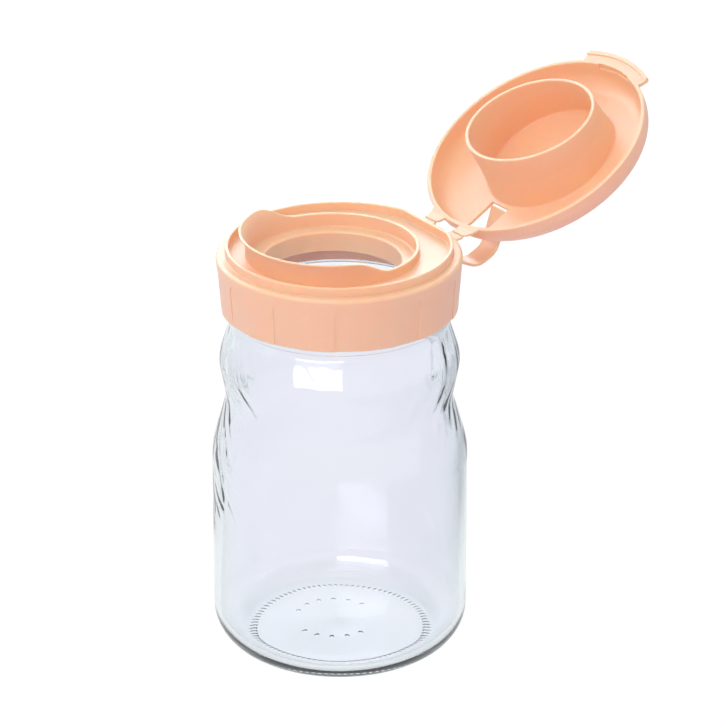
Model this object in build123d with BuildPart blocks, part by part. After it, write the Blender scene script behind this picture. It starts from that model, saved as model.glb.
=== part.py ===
from build123d import *
from math import cos, radians, sin, tan
import os

os.makedirs("parts", exist_ok=True)

# All sizes are in millimetres. The jar stands on Z = 0 with its axis on Z.
# The lid's hinge is on the +Y side and the pouring lip is on the -Y side.

# Glass jar, measured as corners of its outline that are then rounded
body_radius = 46.0
side_height = 79.0
heel_round = 14.0
shoulder_round = 30.0
waist_inset = 5.7
waist_rise = 16.5
waist_round = 12.0
bulge_inset = 2.6
bulge_rise = 16.0
bulge_round = 14.0
neck_rise = 13.5
neck_round = 8.0
finish_radius = 38.9
finish_height = 22.8
finish_wall = 3.9
mouth_round = 1.2
glass_wall = 2.9
base_thickness = 5.0
inner_heel_round = 12.0
standing_ring_inset = 15.5
push_up = 1.6

# Screw thread between the glass and the collar
thread_starts = 4
thread_lead = 13.5
thread_depth = 1.2
thread_height = 1.5
thread_span = 78.0
thread_drop = 9.6
thread_gap = 0.15
lug_depth = 1.1
lug_height = 1.2
lug_span = 14.0
thread_clearance = 0.4

# Seal ring squeezed between the glass and the collar's deck
seal_thickness = 1.2
seal_clearance = 0.3

# Collar: skirt, deck and raised rim
skirt_height = 19.9
skirt_wall = 1.7
skirt_flare = 1.4
ledge_width = 3.3
edge_round = 1.2
deck_thickness = 1.6
deck_corner_round = 0.4
rim_height = 3.3
rim_wall = 1.2
rim_flat_distance = 38.0
rim_edge_round = 0.4

# Grip panels pressed into the skirt
grip_count = 12
grip_width = 9.8
grip_height = 16.3
grip_corner = 3.0
grip_depth = 0.3

# Pouring ring with its raised lip, the floor inside it and the hole
spout_offset = 2.9
spout_mouth_gap = 1.3
spout_wall = 1.2
spout_height = 3.5
lip_height = 9.4
lip_flare = 2.2
lip_reach = 0.7
lip_start = 3.2
lip_end = -16.0
lip_edge_round = 0.35
floor_drop = 1.6
floor_thickness = 1.4
floor_corner_round = 0.8
hole_inset = 6.35
hole_edge_round = 0.7
tube_wall = 1.2
tube_length = 5.8

# Lid, described as it lies when closed
lid_open_angle = 149.0
lid_gap = 0.1
lid_inset = 0.75
lid_wall = 1.6
lid_height = 11.0
lid_draft = 0.95
lid_crown = 0.5
lid_panel = 1.1
lid_round = 8.5
lid_inner_round = 6.5
lid_edge_round = 0.4

# Plug cup under the lid, with its lower end cut at a slant so that it swings clear
plug_clearance = 0.35
plug_wall = 1.3
plug_depth = 9.9
plug_slant = 9.2
plug_taper = 0.9
plug_edge_round = 0.4
plug_foot_round = 0.9

# Thumb tab opposite the hinge
tab_reach = 4.2
tab_half_angle = 22.0
tab_thickness = 1.5
tab_corner = 1.6
tab_bead_width = 1.5
tab_bead_height = 0.45
tab_relief_width = 17.4
tab_relief_depth = 0.5
tab_relief_height = 2.2

# Two folding straps that join the lid to the collar
hinge_reach = 2.2
hinge_drop = 0.65
strap_thickness = 0.9
strap_inner_at_fold = 5.05
strap_outer_at_fold = 11.5
strap_inner_at_collar = 3.7
strap_outer_at_collar = 12.2
strap_inner_at_lid = 4.4
strap_outer_at_lid = 13.9
strap_collar_sink = 3.0
strap_lid_inner_sink = 1.15
strap_lid_outer_sink = 2.95
strap_slope_sink = 0.25
fold_radius = 0.45
fold_clearance = 0.12
strap_level_gap = 0.1

# Spring band that snaps the lid open or shut, and the slot that it lies in
band_width = 8.8
band_thickness = 1.0
band_pivot_reach = 1.4
band_pivot_drop = 11.1
band_pad_clearance = 0.1
band_runs = [15.4, 9.0, 15.1]
band_angles = [-25.6, 24.5, 72.7]
band_round = 7.5
slot_width = 9.6
slot_end_gap = 1.3
slot_bridge = 3.0


# Levels and radii that follow from the sizes above
waist_z = side_height + waist_rise
bulge_z = waist_z + bulge_rise
neck_z = bulge_z + neck_rise
glass_top_z = neck_z + finish_height
waist_radius = body_radius - waist_inset
standing_ring_radius = body_radius - standing_ring_inset
mouth_radius = finish_radius - finish_wall
bulge_radius = body_radius - bulge_inset
spout_radius = mouth_radius - spout_offset - spout_mouth_gap
hole_radius = spout_radius - hole_inset

thread_radius = finish_radius + thread_depth
thread_z = glass_top_z - thread_drop
skirt_inner_radius = thread_radius + thread_clearance
skirt_bottom_radius = skirt_inner_radius + skirt_wall
skirt_top_radius = skirt_bottom_radius + skirt_flare

deck_bottom_z = glass_top_z + seal_thickness
deck_z = deck_bottom_z + deck_thickness
collar_bottom_z = deck_z - skirt_height
rim_radius = skirt_top_radius - ledge_width
hinge_distance = skirt_top_radius + hinge_reach
band_pivot_distance = skirt_bottom_radius + band_pivot_reach
lid_radius = skirt_top_radius - lid_inset
tab_radius = lid_radius + tab_reach

floor_z = deck_z - floor_drop
floor_bottom_z = floor_z - floor_thickness
tube_bottom_z = floor_bottom_z - tube_length
spout_z = deck_z + spout_height
lip_z = deck_z + lip_height

lid_z = deck_z + lid_gap
hinge_z = deck_z - hinge_drop
plug_radius = hole_radius - plug_clearance
slot_end_distance = plug_radius + plug_taper - spout_offset + slot_end_gap
plug_straight_z = floor_z + hole_edge_round
plug_top_z = lid_z + lid_height - lid_panel
plug_tip_z = lid_z - plug_depth
band_pivot_z = deck_z - band_pivot_drop

# A margin by which cutting shapes run past what they cut
past = 5.0
# How deep a joined shape is sunk into the wall that carries it
sunk = 0.5
# How far an edge may lie from a level and still count as lying on it
level_margin = 0.01


def edges_on(shape, plane):
    """The edges of the shape whose middles lie on the plane."""
    return shape.edges().filter_by(
        lambda edge: abs(plane.to_local_coords(edge.center()).Z) < level_margin
    )


def helical_rib(root_radius, tip_radius, height, middle_z, span):
    """A rib that follows the thread's helix, with its middle at middle_z, half its span each side."""
    rise = thread_lead * span / 360
    with BuildPart() as rib:
        with BuildLine() as path:
            Helix(thread_lead, rise, root_radius, center=(0, 0, middle_z - rise / 2))
        start = Plane(origin=path.line @ 0, x_dir=(1, 0, 0), z_dir=path.line % 0)
        reach = tip_radius - root_radius
        with BuildSketch(start):
            with BuildLine():
                Polyline(
                    (0, -height / 2),
                    (reach, -height / 4),
                    (reach, height / 4),
                    (0, height / 2),
                    close=True,
                )
            make_face()
        sweep(path=path.line, is_frenet=True)
    turned_back = Rotation(0, 0, -span / 2)
    return turned_back * rib.part


# Place of the closed lid after it has swung open about the hinge
lid_swing = (
    Location((0, hinge_distance, hinge_z))
    * Location((0, 0, 0), (-lid_open_angle, 0, 0))
    * Location((0, -hinge_distance, -hinge_z))
)


def on_lid(plane):
    """The plane, given for the closed lid, where it lies on the open lid."""
    return Plane(lid_swing * plane.location)


# Glass jar
with BuildPart() as glass_jar:
    with BuildSketch(Plane.XZ):
        with BuildLine():
            outside = FilletPolyline(
                (standing_ring_radius, 0),
                (body_radius, 0),
                (body_radius, side_height),
                (waist_radius, waist_z),
                (bulge_radius, bulge_z),
                (finish_radius, neck_z),
                (finish_radius, glass_top_z - mouth_round),
                radius=[heel_round, shoulder_round, waist_round, bulge_round, neck_round],
            )
            outer_lip = TangentArc(
                outside @ 1,
                (finish_radius - mouth_round, glass_top_z),
                tangent=(0, 1),
            )
            mouth_face = Line(outer_lip @ 1, (mouth_radius + mouth_round, glass_top_z))
            inner_lip = TangentArc(
                mouth_face @ 1,
                (mouth_radius, glass_top_z - mouth_round),
                tangent=(-1, 0),
            )
            inside = FilletPolyline(
                inner_lip @ 1,
                (mouth_radius, neck_z),
                (bulge_radius - glass_wall, bulge_z),
                (waist_radius - glass_wall, waist_z),
                (body_radius - glass_wall, side_height),
                (body_radius - glass_wall, base_thickness + push_up / 2),
                (0, base_thickness + push_up),
                radius=[neck_round, bulge_round, waist_round, shoulder_round, inner_heel_round],
            )
            Polyline(
                inside @ 1,
                (0, push_up),
                (standing_ring_radius - push_up, push_up),
                outside @ 0,
            )
        make_face()
    revolve(axis=Axis.Z)
    ridge = helical_rib(
        finish_radius - sunk, thread_radius, thread_height, thread_z, thread_span
    )
    with PolarLocations(0, thread_starts):
        add(ridge)
glass_jar.part.label = "glass_jar"
export_step(glass_jar.part, "parts/glass_jar.step")

# Seal ring
with BuildPart() as seal_ring:
    with BuildSketch(Plane.XY.offset(glass_top_z)):
        Circle(skirt_inner_radius - seal_clearance)
        Circle(mouth_radius + seal_clearance, mode=Mode.SUBTRACT)
    extrude(amount=seal_thickness)
seal_ring.part.label = "seal_ring"
export_step(seal_ring.part, "parts/seal_ring.step")


# Pouring ring: a thin wall that is low near the hinge and rises to a flared lip
def ring_sections(inset):
    """Outlines of the pouring ring at four levels, drawn in by inset."""
    middle_z = (spout_z + lip_z) / 2
    levels = [
        (floor_bottom_z, 0, 0),
        (spout_z, 0, 0),
        (middle_z, lip_flare * 0.25, lip_reach * 0.25),
        (lip_z, lip_flare, lip_reach),
    ]
    outlines = []
    for level, flare, reach in levels:
        with BuildSketch(Plane.XY.offset(level)) as outline:
            with Locations((0, -spout_offset - reach)):
                Circle(spout_radius + flare - inset)
        outlines.append(outline.sketch)
    return outlines


with BuildPart() as ring_inside:
    loft(sections=ring_sections(spout_wall))

with BuildPart() as pouring_ring:
    loft(sections=ring_sections(0))
    add(ring_inside.part, mode=Mode.SUBTRACT)
    with BuildSketch(Plane.YZ):
        with BuildLine():
            rise_curve = Spline(
                (lip_start, spout_z),
                (lip_end, lip_z),
                tangents=((-1, 0), (-1, 0)),
            )
            far_side = spout_radius + lip_flare + past
            Polyline(
                rise_curve @ 1,
                (-far_side - spout_offset, lip_z),
                (-far_side - spout_offset, lip_z + past),
                (far_side, lip_z + past),
                (far_side, spout_z),
                rise_curve @ 0,
            )
        make_face()
    extrude(amount=2 * spout_radius, both=True, mode=Mode.SUBTRACT)
    ring_walls = pouring_ring.faces().filter_by(GeomType.BSPLINE)
    lip_edges = ring_walls.edges().filter_by_position(Axis.Z, spout_z - sunk, lip_z + sunk)
    fillet(lip_edges, lip_edge_round)

# What one grip panel takes out of the skirt, down to a cone that follows the skirt's lean
with BuildPart() as grip:
    with BuildSketch(Plane.YZ):
        with Locations((0, collar_bottom_z + grip_height)):
            RectangleRounded(
                grip_width,
                grip_height + past,
                grip_corner,
                align=(Align.CENTER, Align.MAX),
            )
    extrude(amount=skirt_top_radius + past)
    with BuildSketch(Plane.XZ):
        skirt_lean = skirt_flare / (skirt_height - edge_round)
        cone_bottom_z = collar_bottom_z - 2 * past
        with BuildLine():
            Polyline(
                (0, cone_bottom_z),
                (skirt_bottom_radius - grip_depth - 2 * past * skirt_lean, cone_bottom_z),
                (skirt_top_radius - grip_depth, deck_z - edge_round),
                (0, deck_z - edge_round),
                close=True,
            )
        make_face()
    revolve(axis=Axis.Z, mode=Mode.SUBTRACT)

# Collar
with BuildPart() as collar:
    with BuildSketch(Plane.XZ):
        with BuildLine():
            skirt_side = Polyline(
                (skirt_inner_radius, collar_bottom_z),
                (skirt_bottom_radius, collar_bottom_z),
                (skirt_top_radius, deck_z - edge_round),
            )
            top_edge = TangentArc(
                skirt_side @ 1,
                (skirt_top_radius - edge_round, deck_z),
                tangent=(0, 1),
            )
            Polyline(
                top_edge @ 1,
                (0, deck_z),
                (0, deck_bottom_z),
                (skirt_inner_radius, deck_bottom_z),
                skirt_side @ 0,
            )
        make_face()
    revolve(axis=Axis.Z)

    with BuildSketch(Plane.XY.offset(deck_z)):
        Circle(rim_radius)
        with Locations((0, rim_flat_distance)):
            Rectangle(
                2 * rim_radius,
                2 * rim_radius,
                align=(Align.CENTER, Align.MIN),
                mode=Mode.SUBTRACT,
            )
        offset(amount=-rim_wall, mode=Mode.SUBTRACT)
    extrude(amount=rim_height)
    fillet(collar.faces().sort_by(Axis.Z)[-1].edges(), rim_edge_round)

    with BuildSketch(Plane.XY.offset(floor_bottom_z)):
        with Locations((0, -spout_offset)):
            Circle(spout_radius)
    extrude(amount=floor_thickness + floor_drop)
    with BuildSketch(Plane.XY.offset(floor_z)):
        with Locations((0, -spout_offset)):
            Circle(spout_radius - spout_wall)
    extrude(amount=floor_drop, mode=Mode.SUBTRACT)
    add(pouring_ring.part)

    with BuildSketch(Plane.XY.offset(tube_bottom_z)):
        with Locations((0, -spout_offset)):
            Circle(hole_radius + tube_wall)
    extrude(amount=tube_length)
    with BuildSketch(Plane.XY.offset(tube_bottom_z)):
        with Locations((0, -spout_offset)):
            Circle(hole_radius)
    extrude(amount=tube_length + floor_thickness + past, mode=Mode.SUBTRACT)
    hole_rims = edges_on(collar, Plane.XY.offset(floor_z)).filter_by(GeomType.CIRCLE)
    fillet(hole_rims.sort_by(SortBy.RADIUS)[0], hole_edge_round)

    # Soft inner corners at the feet of the rim and the ring; the longest edge is the deck's own
    deck_edges = edges_on(collar, Plane.XY.offset(deck_z)).sort_by(SortBy.LENGTH)
    fillet(deck_edges[:-1], deck_corner_round)
    floor_edges = edges_on(collar, Plane.XY.offset(floor_z))
    fillet(floor_edges.filter_by(GeomType.BSPLINE), floor_corner_round)

    # Lugs that hook under the glass thread
    lug_z = thread_z - thread_height / 2 - thread_gap - lug_height / 2
    lug = helical_rib(
        skirt_inner_radius + sunk,
        skirt_inner_radius - lug_depth,
        lug_height,
        lug_z,
        lug_span,
    )
    with PolarLocations(0, thread_starts):
        add(lug)

    # Grip panels, sunk into the skirt and open at its lower edge
    with PolarLocations(0, grip_count):
        add(grip.part, mode=Mode.SUBTRACT)

    # Halves of the two hinge straps that belong to the collar
    strap_top_z = hinge_z - strap_level_gap
    strap_root = skirt_top_radius - strap_collar_sink
    for side in (-1, 1):
        with BuildSketch(Plane.XY.offset(strap_top_z - strap_thickness)):
            with BuildLine():
                Polyline(
                    (side * strap_inner_at_collar, strap_root),
                    (side * strap_inner_at_fold, hinge_distance - fold_radius),
                    (side * strap_outer_at_fold, hinge_distance - fold_radius),
                    (side * strap_outer_at_collar, strap_root),
                    close=True,
                )
            make_face()
        extrude(amount=strap_thickness)

    # Pad on the skirt that the spring band folds on
    pad_front = band_pivot_distance - band_thickness / 2 - band_pad_clearance
    with BuildSketch(Plane.XY.offset(band_pivot_z - band_thickness / 2)):
        with Locations((0, pad_front)):
            Rectangle(
                band_width,
                pad_front - skirt_inner_radius - sunk,
                align=(Align.CENTER, Align.MAX),
            )
    extrude(amount=band_thickness)
collar.part.label = "collar"
export_step(collar.part, "parts/collar.step")

# Plug cup: straight where it enters the hole, then tapering out to the lid's panel
plug_plane = Plane.XZ.offset(spout_offset)
with BuildPart() as plug:
    plug_bottom_z = plug_tip_z - plug_radius * tan(radians(plug_slant)) - past
    plug_root_z = plug_top_z + sunk
    with BuildSketch(on_lid(plug_plane)):
        with BuildLine():
            Polyline(
                (plug_radius - plug_wall, plug_bottom_z),
                (plug_radius, plug_bottom_z),
                (plug_radius, plug_straight_z),
                (plug_radius + plug_taper, plug_root_z),
                (plug_radius + plug_taper - plug_wall, plug_root_z),
                (plug_radius - plug_wall, plug_straight_z),
                close=True,
            )
        make_face()
    plug_middle = on_lid(Plane((0, -spout_offset, 0)))
    revolve(axis=Axis(plug_middle.origin, plug_middle.z_dir))
    with BuildSketch(on_lid(Plane.YZ)):
        slant_rise = (plug_radius + past) * tan(radians(plug_slant))
        with BuildLine():
            Polyline(
                (-spout_offset - plug_radius - past, plug_tip_z + slant_rise),
                (-spout_offset + plug_radius + past, plug_tip_z - slant_rise),
                (-spout_offset + plug_radius + past, plug_bottom_z - past),
                (-spout_offset - plug_radius - past, plug_bottom_z - past),
                close=True,
            )
        make_face()
    extrude(amount=2 * plug_radius, both=True, mode=Mode.SUBTRACT)
    slant_up = lid_swing * Rotation(-plug_slant, 0, 0)
    tip_faces = plug.faces().filter_by(Plane(slant_up))
    fillet(tip_faces.edges(), plug_edge_round)

# Halves of the two hinge straps that belong to the lid, sloping down to the fold
with BuildPart() as lid_straps:
    strap_end = hinge_distance - fold_radius - fold_clearance
    slope_top = lid_radius - strap_slope_sink
    for side in (-1, 1):
        with BuildSketch(on_lid(Plane.XY.offset(hinge_z))):
            with BuildLine():
                Polyline(
                    (side * strap_inner_at_lid, lid_radius - strap_lid_inner_sink),
                    (side * strap_inner_at_fold, strap_end),
                    (side * strap_outer_at_fold, strap_end),
                    (side * strap_outer_at_lid, lid_radius - strap_lid_outer_sink),
                    close=True,
                )
            make_face()
        extrude(amount=lid_height)
    with BuildSketch(on_lid(Plane.YZ)):
        with BuildLine():
            underside = Polyline(
                (strap_end, hinge_z + strap_level_gap),
                (slope_top, lid_z),
                (slope_top - strap_lid_outer_sink, lid_z),
            )
            Polyline(
                underside @ 1,
                (slope_top - strap_lid_outer_sink, lid_z + strap_thickness),
                (slope_top, lid_z + strap_thickness),
                (strap_end, hinge_z + strap_level_gap + strap_thickness),
                underside @ 0,
            )
        make_face()
    extrude(amount=lid_radius, both=True, mode=Mode.INTERSECT)

# Lid, drawn closed and carried open with its planes
with BuildPart() as lid:
    lid_top_z = lid_z + lid_height
    lid_inner_radius = lid_radius - lid_wall
    with BuildSketch(on_lid(Plane.XZ)):
        with BuildLine():
            shell = FilletPolyline(
                (0, lid_top_z + lid_crown),
                (lid_radius - lid_draft, lid_top_z),
                (lid_radius, lid_z),
                (lid_inner_radius, lid_z),
                (lid_inner_radius - lid_draft, plug_top_z),
                (0, plug_top_z),
                radius=[lid_round, lid_edge_round, lid_edge_round, lid_inner_round],
            )
            Line(shell @ 1, shell @ 0)
        make_face()
    lid_middle = on_lid(Plane.XY)
    revolve(axis=Axis(lid_middle.origin, lid_middle.z_dir))
    add(plug.part)
    panel_edges = edges_on(lid, on_lid(Plane.XY.offset(plug_top_z))).filter_by(GeomType.CIRCLE)
    fillet(panel_edges.sort_by(SortBy.RADIUS)[:2], plug_foot_round)

    # Thumb tab with a bead along its edge, and the shallow relief inside the skirt
    tab_start = -90 - tab_half_angle
    with BuildSketch(on_lid(Plane.XY.offset(lid_z))) as tab_outline:
        with BuildLine():
            tab_edge = CenterArc((0, 0), tab_radius, tab_start, 2 * tab_half_angle)
            Polyline(tab_edge @ 1, (0, 0), tab_edge @ 0)
        make_face()
        corners = tab_outline.vertices().sort_by_distance((0, 0, 0))[-2:]
        fillet(corners, tab_corner)
        Circle(lid_radius - lid_wall / 2, mode=Mode.SUBTRACT)
    extrude(amount=tab_thickness)
    with BuildSketch(on_lid(Plane.XY.offset(lid_z - tab_bead_height))) as bead_outline:
        with BuildLine():
            bead_edge = CenterArc((0, 0), tab_radius, tab_start, 2 * tab_half_angle)
            Polyline(bead_edge @ 1, (0, 0), bead_edge @ 0)
        make_face()
        corners = bead_outline.vertices().sort_by_distance((0, 0, 0))[-2:]
        fillet(corners, tab_corner)
        Circle(tab_radius - tab_bead_width, mode=Mode.SUBTRACT)
    extrude(amount=tab_bead_height + sunk)
    with BuildSketch(on_lid(Plane.XY.offset(lid_z - past))):
        Circle(lid_inner_radius + tab_relief_depth)
        Rectangle(
            tab_relief_width,
            lid_radius + past,
            align=(Align.CENTER, Align.MAX),
            mode=Mode.INTERSECT,
        )
        Circle(lid_inner_radius - sunk, mode=Mode.SUBTRACT)
    extrude(amount=past + tab_relief_height, mode=Mode.SUBTRACT)

    # Slot for the spring band, which leaves a bridge along the skirt's edge
    with BuildSketch(on_lid(Plane.XY.offset(lid_z + slot_bridge))):
        with Locations((0, slot_end_distance)):
            Rectangle(slot_width, lid_radius, align=(Align.CENTER, Align.MIN))
    extrude(amount=lid_height + past, mode=Mode.SUBTRACT)

    add(lid_straps.part)
lid.part.label = "lid"
export_step(lid.part, "parts/lid.step")


def hinge_fold(side):
    """The thin web of one strap, rounded about the hinge line and flat against the collar's half."""
    with BuildPart() as fold:
        with BuildSketch(Plane.YZ.offset(side * strap_inner_at_fold)):
            with Locations((hinge_distance, hinge_z)):
                Circle(fold_radius)
                Rectangle(fold_radius, fold_radius, align=(Align.MAX, Align.MAX))
        extrude(amount=side * (strap_outer_at_fold - strap_inner_at_fold))
    return fold.part


left_hinge_fold = hinge_fold(-1)
left_hinge_fold.label = "left_hinge_fold"
export_step(left_hinge_fold, "parts/left_hinge_fold.step")

right_hinge_fold = hinge_fold(1)
right_hinge_fold.label = "right_hinge_fold"
export_step(right_hinge_fold, "parts/right_hinge_fold.step")

# Spring band: runs from the pad on the collar, round under the hinge and up into the slot
band_corners = [(band_pivot_distance, band_pivot_z)]
for run, angle in zip(band_runs, band_angles):
    last_y, last_z = band_corners[-1]
    next_y = last_y + run * cos(radians(angle))
    next_z = last_z + run * sin(radians(angle))
    band_corners.append((next_y, next_z))
with BuildPart() as spring_band:
    with BuildLine(Plane.YZ) as band_path:
        FilletPolyline(*band_corners, radius=band_round)
    band_start = Plane(
        origin=band_path.line @ 0,
        x_dir=(1, 0, 0),
        z_dir=band_path.line % 0,
    )
    with BuildSketch(band_start):
        Rectangle(band_width, band_thickness)
    sweep(path=band_path.line)
    with BuildSketch(Plane.YZ):
        with Locations(band_corners[0]):
            Circle(band_thickness / 2)
    extrude(amount=band_width / 2, both=True)
spring_band.part.label = "spring_band"
export_step(spring_band.part, "parts/spring_band.step")
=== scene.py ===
from math import atan2, ceil, cos, hypot, pi, radians, sin, tan

import bpy
import numpy as np
from mathutils import Matrix, Vector, noise


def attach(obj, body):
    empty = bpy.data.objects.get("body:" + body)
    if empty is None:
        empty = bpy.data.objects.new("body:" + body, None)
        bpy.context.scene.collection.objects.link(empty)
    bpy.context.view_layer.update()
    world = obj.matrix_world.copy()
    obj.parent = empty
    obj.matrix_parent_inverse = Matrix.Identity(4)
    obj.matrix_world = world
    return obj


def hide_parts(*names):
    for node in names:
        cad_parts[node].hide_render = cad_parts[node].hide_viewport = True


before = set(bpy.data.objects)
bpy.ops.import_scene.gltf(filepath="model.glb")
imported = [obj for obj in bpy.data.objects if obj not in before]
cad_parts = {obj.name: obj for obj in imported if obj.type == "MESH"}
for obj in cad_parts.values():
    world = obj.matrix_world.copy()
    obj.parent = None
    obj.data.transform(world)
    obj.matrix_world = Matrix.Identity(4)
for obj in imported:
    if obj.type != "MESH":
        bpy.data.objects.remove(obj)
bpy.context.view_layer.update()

# Lengths are in metres unless a name ends in mm. The jar stands on z = 0 with its axis on z.
MM = 0.001

# The photograph's view, with its angles in degrees
CAMERA_AZIMUTH = 55.8
CAMERA_ELEVATION = 24.15
CAMERA_DISTANCE = 1.5
CAMERA_AIM_HEIGHT = 0.10745
CAMERA_TURN = 0.365
CAMERA_LENS = 207.84
SENSOR_WIDTH = 36.0
CLIP_START = 0.05
CLIP_END = 50.0

# Glass jar, in millimetres: corners of the outline (radius, height) and how each is rounded
OUTSIDE_CORNERS_MM = [
    (30.5, 0.0),
    (46.0, 0.0),
    (46.0, 77.0),
    (40.5, 96.5),
    (43.4, 111.5),
    (38.9, 125.0),
    (38.9, 127.7),
    (39.8, 128.3),
    (39.8, 131.4),
    (38.9, 132.4),
    (38.9, 147.8),
    (35.0, 147.8),
]
OUTSIDE_ROUNDS_MM = [14.0, 30.0, 12.0, 14.0, 8.0, 0.3, 0.3, 0.5, 0.5, 1.2]
INSIDE_CORNERS_MM = [
    (35.0, 147.8),
    (35.0, 125.0),
    (40.5, 111.5),
    (37.6, 96.5),
    (43.1, 77.0),
    (43.1, 3.9),
    (30.0, 4.6),
    (0.0, 6.4),
]
INSIDE_ROUNDS_MM = [8.0, 14.0, 12.0, 30.0, 9.5, 60.0]
# The underside's dome: its rise, and the radii between which it falls to the foot
PUSH_UP_MM = 0.7
DOME_START_MM = 4.0
DOME_END_MM = 30.4
# The foot is meshed finely out to one radius, and the rest of the outline joins past the next
FOOT_FINE_END_MM = 32.0
FOOT_JOIN_MM = 32.2
# The bars reach into the outside no further than this radius and height
FOOT_LIFT_END_MM = 33.5
FOOT_LIFT_TOP_MM = 0.2
GLASS_STEP_MM = 1.1
FINE_STEP_MM = 0.45

# Screw thread on the glass
THREAD_STARTS = 4
THREAD_LEAD_MM = 13.5
THREAD_DEPTH_MM = 1.15
THREAD_HEIGHT_MM = 1.5
THREAD_MIDDLE_MM = 138.2
THREAD_SPAN = radians(78.0)
THREAD_TAPER = radians(5.0)
# It is only looked for above this height and outside this radius
THREAD_LOWEST_MM = 133.0
THREAD_WALL_MM = 38.5

# Unevenness of the pressed glass, strongest along the mould's two seams
SEAM_ANGLE = radians(56.0)
SEAM_SHARPNESS = 4
SIDE_SHARPNESS = 6
INNER_WAVE_MM = 0.22
SHOULDER_WAVE_MM = 0.6
SIDE_STREAK_MM = 0.3
OUTER_WAVE_MM = 0.025
OUTER_DIP = 0.6
BULGE_LEAST = 0.25
FINE_SHARE = 0.6
NARROW_SHARE = 0.75
CREASE_SHARPNESS = 6
# Where each kind lies: heights from and to, with how softly it ends
BULGE_ZONE_MM = (90.0, 118.0, 10.0)
SIDE_ZONE_MM = (62.0, 92.0, 10.0)
OUTER_ZONE_MM = (10.0, 120.0, 8.0)
NECK_FADE_MM = (120.0, 128.0)
BASE_FADE_MM = (8.0, 20.0)
RIGHT_FADE = (0.3, 0.8)
# Noise for each kind: seed, detail around the jar, detail up it, and lean
BODY_WAVE = (3.0, 1.6, 0.035)
BROAD_STREAKS = (11.0, 3.4, 0.05, 0.012)
FINE_STREAKS = (23.0, 9.0, 0.1, 0.02)
NARROW_STREAKS = (37.0, 8.5, 0.045, -0.012)
CREASES = (61.0, 5.0, 0.075, 0.012)
OUTER_WAVE = (47.0, 2.2, 0.05, 0.006)

# Short bars pressed round the foot, and mould dots under the base
BAR_COUNT = 92
BAR_INNER_MM = 30.5
BAR_OUTER_MM = 32.8
BAR_DEPTH_MM = 0.5
BAR_SOFT_MM = 0.4
BAR_SIDES = (0.35, 0.65)
DOT_DEPTH_MM = 0.45
DOT_RADIUS_MM = 0.95
DOT_FLAT = 0.2
DOT_RING_MM = 14.8
DOT_CENTRE_MM = (-4.8, 0.8)
DOT_STEP = 21.5
DOT_ARCS = [(158.0, 6), (-38.4, 5)]
GLASS_SEGMENTS = 4 * BAR_COUNT


def from_view(azimuth, elevation, distance, target):
    """The point seen from the target in the direction of a view from that azimuth and elevation."""
    a = radians(azimuth)
    e = radians(elevation)
    direction = Vector((sin(a) * cos(e), -cos(a) * cos(e), sin(e)))
    return Vector(target) + distance * direction


def make_camera():
    data = bpy.data.cameras.new("photo_camera")
    data.lens = CAMERA_LENS
    data.sensor_width = SENSOR_WIDTH
    data.clip_start = CLIP_START
    data.clip_end = CLIP_END
    camera = bpy.data.objects.new("photo_camera", data)
    aim = Vector((0.0, 0.0, CAMERA_AIM_HEIGHT))
    camera.location = from_view(CAMERA_AZIMUTH, CAMERA_ELEVATION, CAMERA_DISTANCE, aim)
    look = (aim - camera.location).to_track_quat("-Z", "Y").to_matrix()
    turned = Matrix.Rotation(radians(-CAMERA_TURN), 3, "Z") @ look
    camera.rotation_mode = "QUATERNION"
    camera.rotation_quaternion = turned.to_quaternion()
    bpy.context.scene.collection.objects.link(camera)
    bpy.context.scene.camera = camera


def mesh_object(name, vertices, faces, smooth=True):
    mesh = bpy.data.meshes.new(name)
    mesh.from_pydata(vertices, [], faces)
    mesh.update()
    if smooth:
        mesh.polygons.foreach_set("use_smooth", [True] * len(mesh.polygons))
    made = bpy.data.objects.new(name, mesh)
    bpy.context.scene.collection.objects.link(made)
    return made


def corner_arc(before, corner, after, radius, step):
    """Points of the arc that rounds one corner of an outline."""
    corner = np.array(corner)
    to_before = np.array(before) - corner
    to_after = np.array(after) - corner
    to_before = to_before / np.linalg.norm(to_before)
    to_after = to_after / np.linalg.norm(to_after)
    half = np.arccos(np.clip(to_before @ to_after, -1, 1)) / 2
    middle = to_before + to_after
    centre = corner + middle / np.linalg.norm(middle) * radius / sin(half)
    first = corner + to_before * radius / tan(half) - centre
    last = corner + to_after * radius / tan(half) - centre
    turn = atan2(first[0] * last[1] - first[1] * last[0], first @ last)
    count = max(3, ceil(abs(turn) * radius / step))
    points = []
    for i in range(count + 1):
        t = turn * i / count
        x = first[0] * cos(t) - first[1] * sin(t)
        y = first[0] * sin(t) + first[1] * cos(t)
        points.append((centre[0] + x, centre[1] + y))
    return points


def rounded_outline(corners, rounds, step):
    """An open outline through the corners, rounded at all but its two ends, with even steps."""
    knots = [tuple(corners[0])]
    for i, radius in enumerate(rounds):
        knots += corner_arc(corners[i], corners[i + 1], corners[i + 2], radius, step)
    knots.append(tuple(corners[-1]))
    points = [knots[0]]
    for start, end in zip(knots, knots[1:]):
        length = hypot(end[0] - start[0], end[1] - start[1])
        count = max(1, ceil(length / step))
        for i in range(1, count + 1):
            t = i / count
            r = start[0] + (end[0] - start[0]) * t
            z = start[1] + (end[1] - start[1]) * t
            points.append((r, z))
    return points


def smooth_step(low, high, value):
    """0 up to low, 1 from high, and smooth between."""
    t = min(max((value - low) / (high - low), 0.0), 1.0)
    return t * t * (3 - 2 * t)


def bump_between(low, high, soft, value):
    """1 between low and high, falling to 0 over soft on each side."""
    return smooth_step(low - soft, low, value) * (1 - smooth_step(high, high + soft, value))


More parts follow.
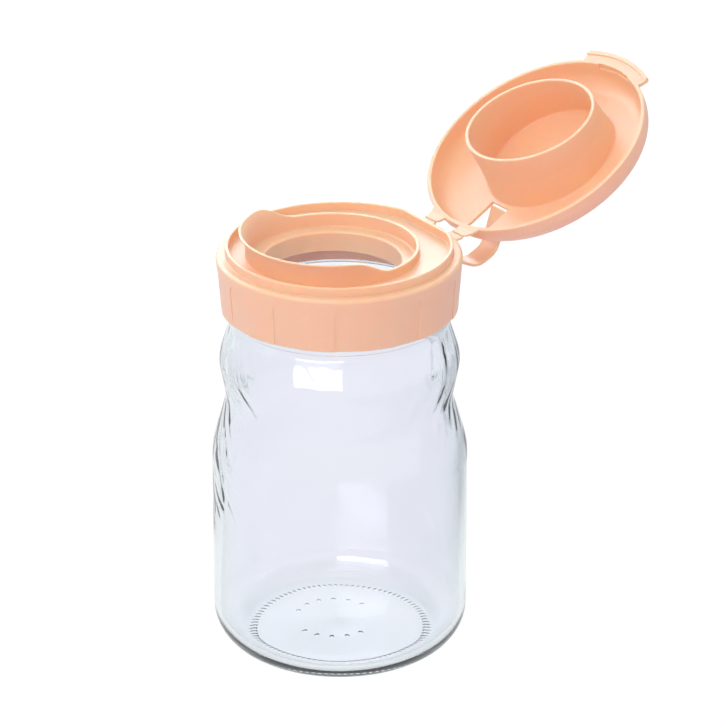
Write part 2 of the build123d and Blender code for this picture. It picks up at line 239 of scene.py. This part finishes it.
def thread_height_mm(angle, z):
    """How far the thread ridges stand out of the finish at this angle and height."""
    best = 0.0
    for start in range(THREAD_STARTS):
        middle = 2 * pi * start / THREAD_STARTS
        turned = (angle - middle + pi) % (2 * pi) - pi
        if abs(turned) > THREAD_SPAN / 2:
            continue
        ridge_z = THREAD_MIDDLE_MM + THREAD_LEAD_MM * turned / (2 * pi)
        ends = 1 - smooth_step(THREAD_SPAN / 2 - THREAD_TAPER, THREAD_SPAN / 2, abs(turned))
        off = abs(z - ridge_z)
        profile = 1 - smooth_step(THREAD_HEIGHT_MM / 4, THREAD_HEIGHT_MM / 2, off)
        best = max(best, THREAD_DEPTH_MM * ends * profile)
    return best


def wave(angle, z, seed, around, along, lean=0.0):
    """Smooth noise on the jar's side, made of rounded streaks that may lean."""
    turned = angle + lean * z
    place = Vector((cos(turned) * around, sin(turned) * around, z * along + seed))
    return noise.noise(place)


def shoulder_streaks(angle, z):
    """Leaning streaks, which are narrower near the seam on one side."""
    streaks = wave(angle, z, *BROAD_STREAKS) + FINE_SHARE * wave(angle, z, *FINE_STREAKS)
    narrow = NARROW_SHARE * wave(angle, z, *NARROW_STREAKS) + (1 - NARROW_SHARE) * streaks
    right = smooth_step(*RIGHT_FADE, cos(angle - SEAM_ANGLE))
    return streaks + right * (narrow - streaks)


def side_creases(angle, z):
    """Sharp creases near the other seam, just under the waist."""
    near = max(0.0, -cos(angle - SEAM_ANGLE)) ** SIDE_SHARPNESS
    crease = 1 - min(abs(wave(angle, z, *CREASES)) * CREASE_SHARPNESS, 1.0)
    return bump_between(*SIDE_ZONE_MM, z) * near * crease


def inner_shift_mm(angle, z):
    """How far the inner wall stands out from its outline: gentle on the body, wavy on the bulge."""
    seam = abs(cos(angle - SEAM_ANGLE)) ** SEAM_SHARPNESS
    bulge = bump_between(*BULGE_ZONE_MM, z) * (BULGE_LEAST + (1 - BULGE_LEAST) * seam)
    uneven = INNER_WAVE_MM * wave(angle, z, *BODY_WAVE)
    uneven += SHOULDER_WAVE_MM * bulge * shoulder_streaks(angle, z)
    uneven += SIDE_STREAK_MM * side_creases(angle, z)
    return (1 - smooth_step(*NECK_FADE_MM, z)) * smooth_step(*BASE_FADE_MM, z) * uneven


def outer_shift_mm(angle, z):
    """The outer wall only dips inward, so it stays inside the jar's true outline."""
    fade = bump_between(*OUTER_ZONE_MM, z)
    return -OUTER_WAVE_MM * fade * (OUTER_DIP + wave(angle, z, *OUTER_WAVE))


def mould_dots():
    """Centres of the small dots under the base, in two arcs on one ring."""
    x, y = DOT_CENTRE_MM
    dots = []
    for middle, count in DOT_ARCS:
        for i in range(count):
            angle = radians(middle + DOT_STEP * (i - (count - 1) / 2))
            dots.append((x + DOT_RING_MM * cos(angle), y + DOT_RING_MM * sin(angle)))
    return dots


def foot_lift_mm(x, y, dots):
    """How far the underside is lifted: in its dome, between the bars and at the mould dots."""
    r = hypot(x, y)
    angle = atan2(y, x)
    across = 0.5 + 0.5 * cos(angle * BAR_COUNT)
    ring = bump_between(BAR_INNER_MM + BAR_SOFT_MM, BAR_OUTER_MM - BAR_SOFT_MM, BAR_SOFT_MM, r)
    lift = PUSH_UP_MM * (1 - smooth_step(DOME_START_MM, DOME_END_MM, r))
    lift += BAR_DEPTH_MM * ring * smooth_step(*BAR_SIDES, across)
    for dot_x, dot_y in dots:
        off = hypot(x - dot_x, y - dot_y)
        lift += DOT_DEPTH_MM * (1 - smooth_step(DOT_FLAT * DOT_RADIUS_MM, DOT_RADIUS_MM, off))
    return lift


def glass_outline():
    """The outline of the jar's wall, as (radius, height, side) with side naming its surface."""
    foot_start = OUTSIDE_CORNERS_MM[0][0]
    underside = [(r, 0.0) for r in np.arange(FINE_STEP_MM, foot_start, FINE_STEP_MM)]
    outside = rounded_outline(OUTSIDE_CORNERS_MM, OUTSIDE_ROUNDS_MM, GLASS_STEP_MM)[:-1]
    foot_ends = [(foot_start, 0.0), (FOOT_FINE_END_MM, 0.0)]
    fine_foot = rounded_outline(foot_ends, [], FINE_STEP_MM)
    outside = fine_foot + [p for p in outside if hypot(p[0], p[1]) > FOOT_JOIN_MM]
    inside = rounded_outline(INSIDE_CORNERS_MM, INSIDE_ROUNDS_MM, GLASS_STEP_MM)
    named = [(r, z, "under") for r, z in underside]
    named += [(r, z, "out") for r, z in outside]
    named += [(r, z, "in") for r, z in inside[1:-1]]
    return named


def glass_vertex(r, z, side, angle, dots):
    """One point of the wall, with what its surface adds to the outline."""
    radius = r
    height = z
    if side == "out":
        radius += outer_shift_mm(angle, z)
        if z > THREAD_LOWEST_MM and r > THREAD_WALL_MM:
            radius += thread_height_mm(angle, z)
    if side == "in":
        radius += inner_shift_mm(angle, z)
    if side == "under" or (z < FOOT_LIFT_TOP_MM and r < FOOT_LIFT_END_MM):
        height += foot_lift_mm(r * cos(angle), r * sin(angle), dots)
    return (radius * cos(angle) * MM, radius * sin(angle) * MM, height * MM)


def turned_faces(rings, segments):
    """Faces of a turned wall, closed by a fan at the first vertex and one at the last."""
    last_vertex = 1 + rings * segments
    last = 1 + (rings - 1) * segments
    faces = []
    for i in range(segments):
        j = (i + 1) % segments
        faces.append((0, 1 + j, 1 + i))
        for ring in range(rings - 1):
            a = 1 + ring * segments
            b = a + segments
            faces.append((a + i, a + j, b + j, b + i))
        faces.append((last + i, last + j, last_vertex))
    return faces


def make_glass():
    """The jar, as a wall with a real outer and inner surface, turned about the axis."""
    outline = glass_outline()
    dots = mould_dots()
    vertices = [(0.0, 0.0, PUSH_UP_MM * MM)]
    for r, z, side in outline:
        for i in range(GLASS_SEGMENTS):
            angle = 2 * pi * i / GLASS_SEGMENTS
            vertices.append(glass_vertex(r, z, side, angle, dots))
    vertices.append((0.0, 0.0, INSIDE_CORNERS_MM[-1][1] * MM))
    jar = mesh_object("jar_glass", vertices, turned_faces(len(outline), GLASS_SEGMENTS))
    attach(jar, "jar")
    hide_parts("glass_jar")
    return jar


# Sockets of the Mix node for colours
MIX_FIRST = 6
MIX_SECOND = 7
MIX_RESULT = 2


def new_material(name):
    material = bpy.data.materials.new(name)
    material.use_nodes = True
    tree = material.node_tree
    return material, tree.nodes, tree.links, tree.nodes["Principled BSDF"]


def noise_texture(nodes, links, scale, detail, roughness=0.5):
    """Noise in the piece's own coordinates, in metres."""
    place = nodes.new("ShaderNodeTexCoord")
    texture = nodes.new("ShaderNodeTexNoise")
    texture.inputs["Scale"].default_value = scale
    texture.inputs["Detail"].default_value = detail
    texture.inputs["Roughness"].default_value = roughness
    links.new(place.outputs["Object"], texture.inputs["Vector"])
    return texture


def ramp(nodes, links, source, low, high, start=0.3, end=0.7):
    """A colour ramp between two colours, driven by a noise value."""
    made = nodes.new("ShaderNodeValToRGB")
    made.color_ramp.elements[0].position = start
    made.color_ramp.elements[0].color = low
    made.color_ramp.elements[1].position = end
    made.color_ramp.elements[1].color = high
    links.new(source, made.inputs["Fac"])
    return made.outputs["Color"]


def ramp_through(nodes, links, source, stops):
    """A colour ramp through any number of stops, each a position and a colour."""
    made = nodes.new("ShaderNodeValToRGB")
    elements = made.color_ramp.elements
    while len(elements) < len(stops):
        elements.new(0.5)
    for element, (position, colour) in zip(elements, stops):
        element.position = position
        element.color = colour
    links.new(source, made.inputs["Fac"])
    return made.outputs["Color"]


def value_range(nodes, links, source, low, high, start=0.0, end=1.0):
    """A value taken from the range start to end into the range low to high."""
    made = nodes.new("ShaderNodeMapRange")
    made.inputs["From Min"].default_value = start
    made.inputs["From Max"].default_value = end
    made.inputs["To Min"].default_value = low
    made.inputs["To Max"].default_value = high
    links.new(source, made.inputs["Value"])
    return made.outputs["Result"]


def fine_bump(nodes, links, height, strength, distance):
    bump = nodes.new("ShaderNodeBump")
    bump.inputs["Strength"].default_value = strength
    bump.inputs["Distance"].default_value = distance
    links.new(height, bump.inputs["Height"])
    return bump.outputs["Normal"]


def larger(nodes, links, first, second):
    """The larger of two values."""
    made = nodes.new("ShaderNodeMath")
    made.operation = "MAXIMUM"
    links.new(first, made.inputs[0])
    links.new(second, made.inputs[1])
    return made.outputs["Value"]


def colour_between(nodes, links, factor, first, second):
    """A colour that goes from the first to the second, each given or linked."""
    made = nodes.new("ShaderNodeMix")
    made.data_type = "RGBA"
    links.new(factor, made.inputs["Factor"])
    for place, colour in ((MIX_FIRST, first), (MIX_SECOND, second)):
        if isinstance(colour, tuple):
            made.inputs[place].default_value = colour
        else:
            links.new(colour, made.inputs[place])
    return made.outputs[MIX_RESULT]


def seen_in_gloss_or_glass(nodes, links, path):
    """1 for the rays by which gloss and glass see what is around them."""
    return larger(
        nodes, links, path.outputs["Is Glossy Ray"], path.outputs["Is Transmission Ray"]
    )


PEACH_DARK = (0.925, 0.590, 0.358, 1)
PEACH_LIGHT = (0.955, 0.624, 0.392, 1)
PEACH_ROUGHNESS = (0.31, 0.42)
PEACH_SCATTER = (1.0, 0.45, 0.25)
PEACH_SCATTER_DEPTH = 0.0024
FLOW_MARKS = (28.0, 2.0)
MOULD_GRAIN = (1400.0, 3.0, 0.6)
FOAM_DARK = (0.80, 0.78, 0.74, 1)
FOAM_LIGHT = (0.90, 0.89, 0.86, 1)
FOAM_CELLS = (1800.0, 4.0, 0.6)


def peach_plastic():
    """Moulded polypropylene: soft sheen, light that spreads inside it, faint flow marks."""
    material, nodes, links, shader = new_material("peach_polypropylene")
    broad = noise_texture(nodes, links, *FLOW_MARKS)
    fine = noise_texture(nodes, links, *MOULD_GRAIN)
    colour = ramp(nodes, links, broad.outputs["Fac"], PEACH_DARK, PEACH_LIGHT)
    links.new(colour, shader.inputs["Base Color"])
    rough = value_range(nodes, links, broad.outputs["Fac"], *PEACH_ROUGHNESS)
    links.new(rough, shader.inputs["Roughness"])
    bump = fine_bump(nodes, links, fine.outputs["Fac"], strength=0.12, distance=0.00006)
    links.new(bump, shader.inputs["Normal"])
    shader.inputs["IOR"].default_value = 1.5
    shader.inputs["Subsurface Weight"].default_value = 1.0
    shader.inputs["Subsurface Radius"].default_value = PEACH_SCATTER
    shader.inputs["Subsurface Scale"].default_value = PEACH_SCATTER_DEPTH
    return material


def seal_foam():
    """White foamed liner with small open cells."""
    material, nodes, links, shader = new_material("seal_liner")
    cells = noise_texture(nodes, links, *FOAM_CELLS)
    colour = ramp(nodes, links, cells.outputs["Fac"], FOAM_DARK, FOAM_LIGHT)
    links.new(colour, shader.inputs["Base Color"])
    bump = fine_bump(nodes, links, cells.outputs["Fac"], strength=0.3, distance=0.0001)
    links.new(bump, shader.inputs["Normal"])
    shader.inputs["Roughness"].default_value = 0.85
    return material


# Tint of one glass surface, from seen square on to seen edge on; the darker, greener edge-on tints
# are painted shade for the darker surroundings at the jar's edges, along with the green of thick
# glass
GLASS_TINTS = [
    (0.0, (0.927, 0.915, 0.960, 1)),
    (0.25, (0.915, 0.905, 0.953, 1)),
    (0.55, (0.905, 0.898, 0.943, 1)),
    (0.80, (0.78, 0.82, 0.82, 1)),
    (0.95, (0.66, 0.80, 0.73, 1)),
]
# A metre of glass absorbs each colour by the density times one minus its share here
GLASS_BODY = (0.36, 0.96, 0.77, 1)
GLASS_DENSITY = 13.0
GLASS_RIPPLE = (55.0, 1.5)
SHADOW_TINT = (0.96, 0.975, 0.98, 1)


def clear_glass():
    """Soda-lime glass that is clear when looked through once and green where it is thick."""
    material, nodes, links, shader = new_material("soda_lime_glass")
    ripple = noise_texture(nodes, links, *GLASS_RIPPLE)
    edge_on = nodes.new("ShaderNodeLayerWeight")
    edge_on.inputs["Blend"].default_value = 0.5
    # Painted shade: the tint darkens towards edge on
    tint = ramp_through(nodes, links, edge_on.outputs["Facing"], GLASS_TINTS)
    links.new(tint, shader.inputs["Base Color"])
    shader.inputs["Roughness"].default_value = 0.0
    shader.inputs["IOR"].default_value = 1.5
    shader.inputs["Transmission Weight"].default_value = 1.0
    bump = fine_bump(nodes, links, ripple.outputs["Fac"], strength=0.15, distance=0.0004)
    links.new(bump, shader.inputs["Normal"])
    absorb = nodes.new("ShaderNodeVolumeAbsorption")
    absorb.inputs["Color"].default_value = GLASS_BODY
    absorb.inputs["Density"].default_value = GLASS_DENSITY
    output = nodes["Material Output"]
    links.new(absorb.outputs["Volume"], output.inputs["Volume"])

    # Lamps reach what stands behind the glass
    clear = nodes.new("ShaderNodeBsdfTransparent")
    clear.inputs["Color"].default_value = SHADOW_TINT
    path = nodes.new("ShaderNodeLightPath")
    passes = larger(nodes, links, path.outputs["Is Shadow Ray"], path.outputs["Is Diffuse Ray"])
    mix = nodes.new("ShaderNodeMixShader")
    links.new(passes, mix.inputs["Fac"])
    links.new(shader.outputs["BSDF"], mix.inputs[1])
    links.new(clear.outputs["BSDF"], mix.inputs[2])
    links.new(mix.outputs["Shader"], output.inputs["Surface"])
    return material


# Edges between faces that turn by more than this stay sharp
SHARP_FROM = radians(28)


def cover(obj, material):
    obj.data.materials.clear()
    obj.data.materials.append(material)


def smooth_node(obj):
    """Smooth shading on a node's own faces, with its sharper edges kept."""
    obj.data.polygons.foreach_set("use_smooth", [True] * len(obj.data.polygons))
    obj.data.set_sharp_from_angle(angle=SHARP_FROM)


# The floor's colour and glow: as it lights the part, as gloss and glass see it, and to the camera
FLOOR_SIZE = 8.0
GREY_LIT = (0.84, 0.72, 0.92, 1)
GREY_MIRRORED = (0.27, 0.27, 0.275, 1)
GREY_SEEN = (0.36, 0.36, 0.365, 1)
GLOW_MIRRORED = (0.75, 0.75, 0.75, 1)
GLOW_SEEN = (0.72, 0.72, 0.72, 1)
# Painted light: a pool of glow on the floor under the jar, where glass would gather light. Painted
# shade: the floor's glow is dimmer beyond one side
PAINTED_POOL_GLOW = (0.93, 0.90, 0.90, 1)
POOL_EDGE = (0.028, 0.036)
PAINTED_SHADE_GLOW = (0.40, 0.41, 0.44, 1)
DIM_TOWARDS = (0.562, 0.827, 0.0)
DIM_EDGE = (0.075, 0.125)
NO_GLOW = (0.0, 0.0, 0.0, 1)
PAPER_SHADE = (0.985, 0.985, 0.985, 1)
WHITE = (1.0, 1.0, 1.0, 1)
PAPER_GRAIN = (3.0, 2.0)


def mirrored_floor_glow(nodes, links):
    """The floor's glow as gloss and glass see it, with a painted pool of light under the jar and
    painted shade beyond one side.
    """
    place = nodes.new("ShaderNodeTexCoord")
    reach = nodes.new("ShaderNodeVectorMath")
    reach.operation = "LENGTH"
    links.new(place.outputs["Object"], reach.inputs[0])
    across = nodes.new("ShaderNodeVectorMath")
    across.operation = "DOT_PRODUCT"
    across.inputs[1].default_value = DIM_TOWARDS
    links.new(place.outputs["Object"], across.inputs[0])
    # Masks of the painted pool of light under the jar and of the painted shade on one side
    painted_pool = value_range(nodes, links, reach.outputs["Value"], 1.0, 0.0, *POOL_EDGE)
    painted_shade_mask = value_range(nodes, links, across.outputs["Value"], 0.0, 1.0, *DIM_EDGE)
    glow = colour_between(nodes, links, painted_pool, GLOW_MIRRORED, PAINTED_POOL_GLOW)
    return colour_between(nodes, links, painted_shade_mask, glow, PAINTED_SHADE_GLOW)


def floor_paper():
    """Pale paper that reads white and keeps a soft shadow."""
    material, nodes, links, shader = new_material("floor_paper")
    nodes.remove(shader)
    path = nodes.new("ShaderNodeLightPath")
    mirrored = seen_in_gloss_or_glass(nodes, links, path)
    camera = path.outputs["Is Camera Ray"]
    grey = colour_between(nodes, links, mirrored, GREY_LIT, GREY_MIRRORED)
    grey = colour_between(nodes, links, camera, grey, GREY_SEEN)
    glow = colour_between(nodes, links, mirrored, NO_GLOW, mirrored_floor_glow(nodes, links))
    glow = colour_between(nodes, links, camera, glow, GLOW_SEEN)
    grain = noise_texture(nodes, links, *PAPER_GRAIN)
    shade = ramp(nodes, links, grain.outputs["Fac"], PAPER_SHADE, WHITE)
    tint = nodes.new("ShaderNodeMix")
    tint.data_type = "RGBA"
    tint.blend_type = "MULTIPLY"
    tint.inputs["Factor"].default_value = 1.0
    links.new(grey, tint.inputs[MIX_FIRST])
    links.new(shade, tint.inputs[MIX_SECOND])
    diffuse = nodes.new("ShaderNodeBsdfDiffuse")
    links.new(tint.outputs[MIX_RESULT], diffuse.inputs["Color"])
    shine = nodes.new("ShaderNodeEmission")
    links.new(glow, shine.inputs["Color"])
    both = nodes.new("ShaderNodeAddShader")
    links.new(diffuse.outputs["BSDF"], both.inputs[0])
    links.new(shine.outputs["Emission"], both.inputs[1])
    links.new(both.outputs["Shader"], nodes["Material Output"].inputs["Surface"])
    return material


def make_floor():
    half = FLOOR_SIZE / 2
    corners = [(-half, -half, 0), (half, -half, 0), (half, half, 0), (-half, half, 0)]
    floor = mesh_object("floor", corners, [(0, 1, 2, 3)], smooth=False)
    cover(floor, floor_paper())


# What gloss and glass see of the studio, by the sine of the height above the horizon
DARK_BAND = (0.12, 0.17, 0.155, 1)
SKY_BANDS = [
    (-1.0, WHITE),
    (0.42, WHITE),
    (0.55, DARK_BAND),
    (0.80, DARK_BAND),
    (0.92, WHITE),
]
FILL_COLOUR = (0.94, 0.93, 1.0, 1)
FILL_STRENGTH = 0.76


def make_world():
    """White to the camera, soft fill on surfaces, and a dark band overhead for gloss and glass."""
    world = bpy.data.worlds.new("studio")
    world.use_nodes = True
    bpy.context.scene.world = world
    nodes = world.node_tree.nodes
    links = world.node_tree.links
    nodes.clear()
    place = nodes.new("ShaderNodeTexCoord")
    split = nodes.new("ShaderNodeSeparateXYZ")
    links.new(place.outputs["Generated"], split.inputs["Vector"])
    height = value_range(nodes, links, split.outputs["Z"], 0.0, 1.0, start=-1.0)
    stops = [((sine + 1) / 2, colour) for sine, colour in SKY_BANDS]
    bands = ramp_through(nodes, links, height, stops)

    path = nodes.new("ShaderNodeLightPath")
    mirrored = seen_in_gloss_or_glass(nodes, links, path)
    fill = nodes.new("ShaderNodeBackground")
    fill.inputs["Color"].default_value = FILL_COLOUR
    fill.inputs["Strength"].default_value = FILL_STRENGTH
    sky = nodes.new("ShaderNodeBackground")
    links.new(bands, sky.inputs["Color"])
    white = nodes.new("ShaderNodeBackground")
    white.inputs["Color"].default_value = WHITE
    first = nodes.new("ShaderNodeMixShader")
    links.new(mirrored, first.inputs["Fac"])
    links.new(fill.outputs["Background"], first.inputs[1])
    links.new(sky.outputs["Background"], first.inputs[2])
    second = nodes.new("ShaderNodeMixShader")
    links.new(path.outputs["Is Camera Ray"], second.inputs["Fac"])
    links.new(first.outputs["Shader"], second.inputs[1])
    links.new(white.outputs["Background"], second.inputs[2])
    output = nodes.new("ShaderNodeOutputWorld")
    links.new(second.outputs["Shader"], output.inputs["Surface"])


LAMP_COLOUR = (0.95, 0.93, 1.0)
# The point that all lamps look at
LIT_POINT = (0.0, 0.02, 0.13)
PLASTIC_NODES = ("collar", "lid", "spring_band", "left_hinge_fold", "right_hinge_fold")


def area_lamp(name, azimuth, elevation, distance, width, height, power):
    """A soft lamp that looks at the part, with angles in degrees and power in watts."""
    data = bpy.data.lights.new(name, "AREA")
    data.color = LAMP_COLOUR
    data.shape = "RECTANGLE"
    data.size = width
    data.size_y = height
    data.energy = power
    lamp = bpy.data.objects.new(name, data)
    lamp.location = from_view(azimuth, elevation, distance, LIT_POINT)
    bpy.context.scene.collection.objects.link(lamp)
    lamp.rotation_mode = "QUATERNION"
    lamp.rotation_quaternion = (Vector(LIT_POINT) - lamp.location).to_track_quat("-Z", "Y")
    return lamp


def light_only(lamp, name, objects):
    """Keeps a lamp to the named objects, and there to their gloss."""
    lit = bpy.data.collections.new(name)
    for obj in objects:
        lit.objects.link(obj)
    lamp.light_linking.receiver_collection = lit
    lamp.visible_diffuse = False


def make_lights(jar):
    """Two softboxes light the part, and a window and a card show only as reflections on it."""
    area_lamp("overhead_softbox", 30.0, 45.0, distance=1.6, width=1.3, height=1.3, power=10.6)
    area_lamp("back_softbox", 225.0, 50.0, distance=1.6, width=1.6, height=0.9, power=2.5)
    window = area_lamp("front_window", 32.5, 17.8, distance=1.3, width=1.2, height=0.25, power=7.0)
    card = area_lamp("back_card", 262.0, 29.0, distance=1.5, width=2.8, height=1.5, power=56.0)
    light_only(window, "glass_pieces", [jar])
    light_only(card, "plastic_pieces", [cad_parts[name] for name in PLASTIC_NODES])


def dress_closure():
    """Materials and smooth shading for the closure and the seal."""
    plastic = peach_plastic()
    for name in PLASTIC_NODES:
        cover(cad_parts[name], plastic)
        smooth_node(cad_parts[name])
    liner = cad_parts["seal_ring"]
    cover(liner, seal_foam())
    smooth_node(liner)


bpy.context.scene.view_settings.view_transform = "Standard"
make_camera()
make_world()
glass_jar = make_glass()
cover(glass_jar, clear_glass())
make_lights(glass_jar)
make_floor()
dress_closure()
